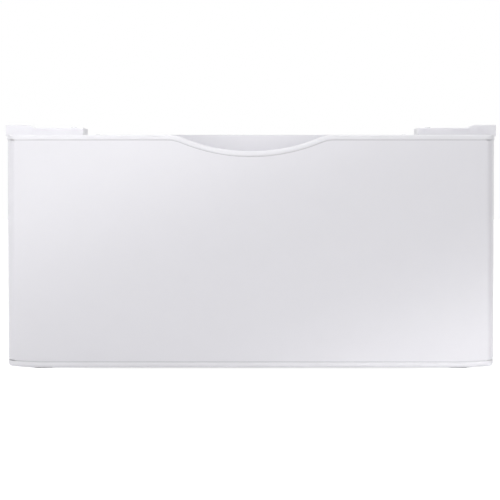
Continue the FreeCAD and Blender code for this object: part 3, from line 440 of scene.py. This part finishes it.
def foot_bracket_welds():
    sheet, height = 2.5, 5.2
    places = []
    for corner in CORNERS:
        low, high = box_mm(f"foot_bracket_{corner}")
        across, back = toward_middle(corner)
        inner = high.x if across > 0 else low.x
        y = (low.y if back > 0 else high.y) + back * sheet
        places += [((inner - across * step, y, low.z + height), (0, back, 0)) for step in (14, 38)]
    fasteners("foot_bracket_welds", "cabinet", weld, "zinc_steel", places, radius=2.4)


def drawer_slide_screws():
    low, high = box_mm("drawer_left_side")
    sheet, slide_height = 1, 150.0
    places = []
    for side in (1, -1):
        for y in spread_out(low.y + 30, high.y - 40, 4):
            places.append((((low.x + sheet) * side, y, slide_height), (side, 0, 0)))
    fasteners("drawer_slide_screws", "drawer", pan_screw, "zinc_steel", places, height=1.7)


def drawer_front_screws():
    low = box_mm("drawer_left_side")[0]
    x, y = low.x + 6.2, low.y + 1
    places = [((x * side, y, z), BACKWARDS) for side in (1, -1) for z in spread_out(82, 272, 4)]
    fasteners("drawer_front_screws", "drawer", pan_screw, "zinc_steel", places, radius=3.4)


def liner_screws():
    low, high = box_mm("front_liner")
    spots = [(319.5 * side, z) for side in (1, -1) for z in (34, 96, 218, 302)]
    spots += [(x, low.z + 16) for x in spread_out(-240, 240, 4)]
    spots += [(x, high.z - 11) for x in (-250, -160, 160, 250)]
    places = [((x, high.y, z), BACKWARDS) for x, z in spots]
    fasteners("liner_screws", "drawer", pan_screw, "zinc_steel", places, radius=3.4, height=1.6)


def drawer_back_welds():
    low, high = box_mm("drawer_back")
    margin, sheet = 6, 1
    spots = [((high.x - margin) * side, z) for side in (1, -1) for z in spread_out(76, 276, 6)]
    spots += [(x, low.z + margin) for x in spread_out(-250, 250, 7)]
    places = [((x, low.y + sheet, z), BACKWARDS) for x, z in spots]
    fasteners("drawer_back_welds", "drawer", weld, "white_panel", places)


# ---------------------------------------------------------------- feet
THREAD_PITCH = 1.5


def collar_outlines(flats):
    """A hexagon with rounded corners, and its narrower outline at a bevelled end."""

    def side(angle):
        return min(hexagon(flats, angle), flats * 0.565)

    def bevel(angle):
        return min(hexagon(flats, angle), flats * 0.5)

    return side, bevel


def screw_thread(major, low, high, steps):
    """Rings of a right-handed thread, each with its height."""
    depth, per_turn = THREAD_PITCH * 0.58, 8
    rings = []
    count = int((high - low) / THREAD_PITCH * per_turn)
    for n in range(count + 1):
        z = low + (high - low) * n / count
        fade = min(1, (z - low) / THREAD_PITCH, (high - z) / THREAD_PITCH)
        ring = []
        for k in range(steps):
            share = (z / THREAD_PITCH - k / steps) % 1
            flank = min(max(1.3 - 2.6 * abs(share - 0.5), 0.1), 1)
            r = major - depth + depth * flank * max(fade, 0.1)
            angle = math.tau * k / steps
            ring.append((r * math.cos(angle), r * math.sin(angle), z))
        rings.append(ring)
    return rings


def foot_stud(corner):
    """The levelling stud: a pin that turns in the pad, a hexagon collar and an M10 thread
    with a hexagon socket in its end."""
    low, high = box_mm(f"foot_stud_{corner}")
    x, y = (low.x + high.x) / 2, (low.y + high.y) / 2
    steps, collar, collar_top = 36, 12.0, 16.0
    pin, neck, thread, tip = 4, 4.2, 4.93, 3.4
    socket_flats, socket_depth = 4.6, 4
    side, bevel = collar_outlines(high.y - low.y)

    def ring(radius, z):
        made = []
        for k in range(steps):
            angle = math.tau * k / steps
            r = radius(angle) if callable(radius) else radius
            made.append((r * math.cos(angle), r * math.sin(angle), z))
        return made

    def key(angle):
        return hexagon(socket_flats, angle)

    rings = [[(0, 0, low.z)], ring(pin - 0.5, low.z), ring(pin, low.z + 0.5), ring(pin, collar)]
    rings += [ring(bevel, collar), ring(side, collar + 0.5), ring(side, collar_top - 0.5)]
    rings += [ring(bevel, collar_top), ring(neck, collar_top)]
    rings += screw_thread(thread, collar_top + 0.3, high.z - 1.0, steps)
    rings += [ring(tip, high.z), ring(key, high.z), ring(key, high.z - socket_depth)]
    rings.append([(0, 0, high.z - socket_depth - 0.6)])
    form = Form()
    form.skin(rings, standing((x, y, 0)))
    node, body = f"foot_stud_{corner}", f"{corner}_stud"
    form.done(f"levelling_stud_{corner}", body, "bright_steel", [node], 28)
    return x, y


def lock_nut(form, x, y):
    """A thin nut that locks the stud against the underside of the foot bracket."""
    low, high, flats, bore = 16.3, 21.95, 17.0, 5.02
    side, bevel = collar_outlines(flats)
    profile = [(bore, low + 0.5), (bore + 0.6, low), (bevel, low), (side, low + 0.7)]
    profile += [(side, high - 0.7), (bevel, high), (bore + 0.6, high), (bore, high - 0.5)]
    form.turned(profile + profile[:1], standing((x, y, 0)), 48)


def foot_pad(corner):
    """A moulded rubber pad with rounded corners, a stepped shoulder and a ribbed tread."""
    low, high = box_mm(f"foot_pad_{corner}")
    x, y = (low.x + high.x) / 2, (low.y + high.y) / 2
    flats, top = high.y - low.y, high.z
    bore, bore_floor, groove_depth = 4.05, 5.0, 1.2

    def six(size):
        return lambda angle: min(hexagon(size, angle), size * 0.54)

    profile = [(0, bore_floor), (bore, bore_floor), (bore, top - 0.5), (4.6, top)]
    shoulder = ((14.6, 0), (13.6, 0.4), (7, 3.6), (6.6, 4.3), (1.2, 7), (0, 7.8))
    profile += [(six(flats - inset), top - drop) for inset, drop in shoulder]
    profile += [(six(flats), 0.9), (six(flats - 1), 0.2), (six(flats - 1.8), 0)]
    for size in (31, 24, 17, 10):
        groove = ((0, 0), (0.6, groove_depth), (2.4, groove_depth), (3, 0))
        profile += [(six(size - inset), height) for inset, height in groove]
    profile.append((0, 0))
    form = Form()
    form.turned(profile, standing((x, y, 0)), 60)
    form.done(f"tread_pad_{corner}", f"{corner}_pad", "black_rubber", [f"foot_pad_{corner}"], 30)


def feet():
    """Four feet, and their lock nuts, which stay on the cabinet."""
    nuts = Form()
    for corner in CORNERS:
        x, y = foot_stud(corner)
        lock_nut(nuts, x, y)
        foot_pad(corner)
    nuts.done("lock_nuts", "cabinet", "zinc_steel")


# ---------------------------------------------------------------- slides and bumpers
def ball_rows():
    """The bearing balls, ground round and bright."""
    radius, steps = 2, 12
    angles = [math.pi * n / steps for n in range(steps + 1)]
    profile = [(radius * math.sin(a), -radius * math.cos(a)) for a in angles]
    profile[0], profile[-1] = (0, -radius), (0, radius)
    for row in ("outer", "inner"):
        for side in SIDES:
            node = f"{row}_balls_{side}"
            form = Form()
            for low, high in lumps(node):
                form.turned(profile, standing((low + high) / 2, (1, 0, 0)), 24)
            body = f"{side}_{row}_bearing"
            form.done(f"bearing_{node}", body, "bright_steel", [node], 60)


def rounded_outline(half_x, half_z, radius, per_corner=6):
    """Points round a rectangle with rounded corners, about its middle."""
    points = []
    for quarter, (sx, sz) in enumerate(((1, 1), (-1, 1), (-1, -1), (1, -1))):
        for n in range(per_corner):
            angle = (quarter + n / (per_corner - 1)) * math.pi / 2
            x = sx * (half_x - radius) + radius * math.cos(angle)
            z = sz * (half_z - radius) + radius * math.sin(angle)
            points.append((x, z))
    return points


def bumpers():
    """Soft domed bumpers that the drawer front closes against."""
    corner = 2.0
    form = Form()
    for low, high in lumps("drawer_bumpers"):
        centre = (low + high) / 2
        half_x, half_z, thick = (high.x - low.x) / 2, (high.z - low.z) / 2, high.y - low.y
        rings = [[(centre.x, high.y, centre.z)]]
        for inset, share in ((0, 0), (0, 0.45), (0.25, 0.72), (0.8, 0.9), (1.8, 1.0)):
            outline = rounded_outline(half_x - inset, half_z - inset, corner)
            y = high.y - thick * share
            rings.append([(centre.x + x, y, centre.z + z) for x, z in outline])
        rings.append([(centre.x, low.y, centre.z)])
        form.skin(rings)
    form.done("domed_bumpers", "cabinet", "black_rubber", ["drawer_bumpers"], 40)


# ---------------------------------------------------------------- drawer front
# Sizes of the drawer front's edges, in millimetres, as the CAD part has them.
DIP_HALF, DIP_DEPTH, DIP_BLEND = 116.5, 23.0, 60.0
TOP_BAND, SEAM = 7.0, 0.9
BOTTOM_BAND, END_RISE, END_RISE_LENGTH = 8.0, 2.8, 55


def dipped(x, drop):
    """Height of the line that runs a drop below the drawer front's upper edge."""
    edge = box_mm("top_trim")[1].z
    blend = DIP_BLEND - drop
    scoop = (DIP_HALF**2 + DIP_DEPTH**2) / (2 * DIP_DEPTH) - DIP_BLEND
    join = DIP_HALF * (1 - blend / (scoop + DIP_BLEND))
    if abs(x) >= DIP_HALF:
        return edge - drop
    if abs(x) > join:
        return edge - DIP_BLEND + math.sqrt(blend**2 - (DIP_HALF - abs(x)) ** 2)
    return edge - DIP_DEPTH + scoop - math.sqrt((scoop + drop) ** 2 - x**2)


def raised_end(x, lift):
    """Height of the line that runs a lift above the drawer front's lower edge."""
    low, high = box_mm("bottom_trim")
    radius = (END_RISE_LENGTH**2 + END_RISE**2) / (2 * END_RISE)
    past = max(0, abs(x) - (high.x - END_RISE_LENGTH))
    return low.z + lift + radius - math.sqrt(radius**2 - past**2)


def upper_seam(x):
    """The lower and upper edges of the seam under the top trim."""
    return dipped(x, TOP_BAND + SEAM), dipped(x, TOP_BAND)


def lower_seam(x):
    """The lower and upper edges of the seam over the bottom trim."""
    return raised_end(x, BOTTOM_BAND), raised_end(x, BOTTOM_BAND + SEAM)


def painted_seam_shadows():
    """Painted shadow: thin grey strips in the seams between the face panel and the trims, which
    darken the seams where their shade falls.
    """
    low, high = box_mm("face_panel")
    y1 = low.y + 1.02
    half, sections = high.x - 10.5, 241
    seams = (("upper_seam_painted_shadow", upper_seam, 0.45), ("lower_seam_painted_shadow", lower_seam, 0.2))
    for name, heights, sunk in seams:
        y0 = low.y + sunk
        rings = []
        for x in spread_out(-half, half, sections):
            z0, z1 = heights(x)
            rings.append([(x, y0, z0), (x, y1, z0), (x, y1, z1), (x, y0, z1)])
        ends = [[tuple(sum(c) / 4 for c in zip(*ring))] for ring in (rings[0], rings[-1])]
        form = Form()
        form.skin([ends[0]] + rings + [ends[1]])
        form.done(name, "drawer", "white_moulding", (), 30, seam_shadow_paint)


def rolled_trim(name, node):
    """A moulded trim whose ends are rolled back like the face panel's upright edges."""
    form = Form()
    form.bm.from_mesh(nodes[node].data)
    bmesh.ops.remove_doubles(form.bm, verts=form.bm.verts, dist=SAME_CAD_POINT)
    end, face = box_mm(node)[1].x, box_mm("face_panel")
    roll, cuts = 10.0, 14
    start, front = face[1].x - roll, face[0].y
    reach = end - start
    steps = [start + reach * math.sin(math.pi / 2 * n / cuts) for n in range(cuts)]
    for x in [side * step for side in (-1, 1) for step in steps]:
        everything = form.bm.verts[:] + form.bm.edges[:] + form.bm.faces[:]
        plane = {"plane_co": (x * MM, 0, 0), "plane_no": (1, 0, 0)}
        bmesh.ops.bisect_plane(form.bm, geom=everything, dist=SAME_CAD_POINT, **plane)
    for vert in form.bm.verts:
        along = min(max((abs(vert.co.x) / MM - start) / reach, 0), 1)
        rolled = (front + roll * (1 - math.sqrt(1 - along**2))) * MM
        vert.co.y = max(vert.co.y, rolled)
    form.done(name, "drawer", "white_moulding", [node], 40)


# ---------------------------------------------------------------- studio
# Two directions in the drawer front's plane: down the slope of its shading, and along its edge.
DOWN_SLOPE = Vector((0.423, 0, -0.906))
ALONG_EDGE = Vector((0.906, 0, 0.423))
POOL_SPREAD = 15


def seen_rays(m):
    """1 for the rays that show a surface or the sky as it looks, 0 for those that gather light."""
    path = m.add("LightPath").outputs
    seen = path["Is Camera Ray"]
    for kind in ("Is Glossy Ray", "Is Transmission Ray"):
        seen = m.add("Math", {0: seen, 1: path[kind]}, operation="MAXIMUM").outputs[0]
    return seen


def stage_floor():
    """A pale floor, which looks white but for the pedestal's soft shadow."""
    reach = 14
    corners = [(-reach, -reach, 0), (reach, -reach, 0), (reach, reach, 0), (-reach, reach, 0)]
    mesh = bpy.data.meshes.new("floor")
    mesh.from_pydata(corners, [], [(0, 1, 2, 3)])
    floor = bpy.data.objects.new("floor", mesh)
    scene.collection.objects.link(floor)
    m = Nodes("studio floor")
    m.set(Base_Color=(0.88, 0.88, 0.88, 1), Roughness=0.9)
    plain = m.shader.outputs[0]
    glow = m.add("Emission", {"Color": (1, 1, 1, 1), "Strength": 0.85}).outputs[0]
    lifted = m.add("AddShader", {0: plain, 1: glow}).outputs[0]
    pick = m.add("MixShader", {0: seen_rays(m), 1: plain, 2: lifted}).outputs[0]
    m.tree.links.new(pick, m.tree.nodes["Material Output"].inputs["Surface"])
    mesh.materials.append(m.material)


class Sky(Nodes):
    """The world's node tree, written in the same short way."""

    def __init__(self):
        world = bpy.data.worlds.new("studio")
        scene.world = world
        world.use_nodes = True
        self.tree = world.node_tree


def light_sky(strength):
    """Soft light from all around, in front of a white background."""
    m = Sky()
    soft = m.tree.nodes["Background"]
    soft.inputs["Color"].default_value = (1, 1, 1, 1)
    soft.inputs["Strength"].default_value = strength
    white = m.add("Background", {"Color": (1, 1, 1, 1), "Strength": 1.0})
    pick = m.add("MixShader", {0: seen_rays(m), 1: soft.outputs[0], 2: white.outputs[0]})
    m.tree.links.new(pick.outputs[0], m.tree.nodes["World Output"].inputs["Surface"])


def lamp(name, size, power, placed):
    """A rectangular lamp that the camera doesn't see."""
    data = bpy.data.lights.new(name, "AREA")
    data.shape = "RECTANGLE"
    data.size, data.size_y = size
    data.energy = power
    thing = bpy.data.objects.new(name, data)
    scene.collection.objects.link(thing)
    thing.matrix_world = placed
    thing.visible_camera = False
    return thing


def soft_box(name, where, look_at, size, power):
    """A lamp at a point, turned to another point."""
    where = Vector(where)
    turn = (Vector(look_at) - where).to_track_quat("-Z", "Y").to_matrix().to_4x4()
    lamp(name, size, power, Matrix.Translation(where) @ turn)


def slanted_pool(name, edge, side, throw, power):
    """Light whose soft edge crosses the drawer front on a slant, edge metres along the slope
    from the front's middle. It falls on the side of that edge, -1 up and left, 1 down and right."""
    low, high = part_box("face_panel")
    middle = Vector((0, low.y, (low.z + high.z) / 2))
    aim = Vector(throw).normalized()
    across = (ALONG_EDGE - ALONG_EDGE.dot(aim) * aim).normalized()
    up = (-aim).cross(across)
    length, width, distance = 1.6, 0.5, 1.1
    stretch = abs((up - aim * (up.y / aim.y)).dot(DOWN_SLOPE))
    target = middle + DOWN_SLOPE * (edge + side * stretch * width / 2)
    turn = Matrix((across, up, -aim)).transposed().to_4x4()
    thing = lamp(name, (length, width), power, Matrix.Translation(target - aim * distance) @ turn)
    thing.data.spread = math.radians(POOL_SPREAD)
    thing.visible_glossy = False


def light_studio():
    """Soft lamps all round, and two pools of light that cross the drawer front on a slant."""
    light_sky(0.325)
    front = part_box("face_panel")[0].y
    soft_box("key", (0.1, -3.0, 0.95), (0, front, 0.17), (2.0, 1.2), 13)
    soft_box("brow", (-1.1, -1.3, 2.2), (0.1, front, 0.2), (0.8, 0.8), 14)
    soft_box("overhead", (0, 0.3, 2.6), (0, 0, 0.2), (2.4, 2.4), 22)
    for name, side in (("left_flank", -1), ("right_flank", 1)):
        soft_box(name, (side * 2.6, 0.9, 1.1), (0, 0.1, 0.3), (1.2, 1.2), 10)
    slanted_pool("upper_left_pool", -0.108, -1, (0, 1, -0.12), 0.38)
    slanted_pool("lower_right_pool", 0.195, 1, (0, 1, -0.45), 0.6)
    scene.view_settings.view_transform = "Standard"


aim_camera()
finish_nodes()
rear_panel_screws()
slide_bracket_rivets()
corner_plate_screws()
foot_bracket_welds()
drawer_slide_screws()
drawer_front_screws()
liner_screws()
drawer_back_welds()
feet()
ball_rows()
bumpers()
painted_seam_shadows()
rolled_trim("rolled_top_trim", "top_trim")
rolled_trim("rolled_bottom_trim", "bottom_trim")
stage_floor()
light_studio()
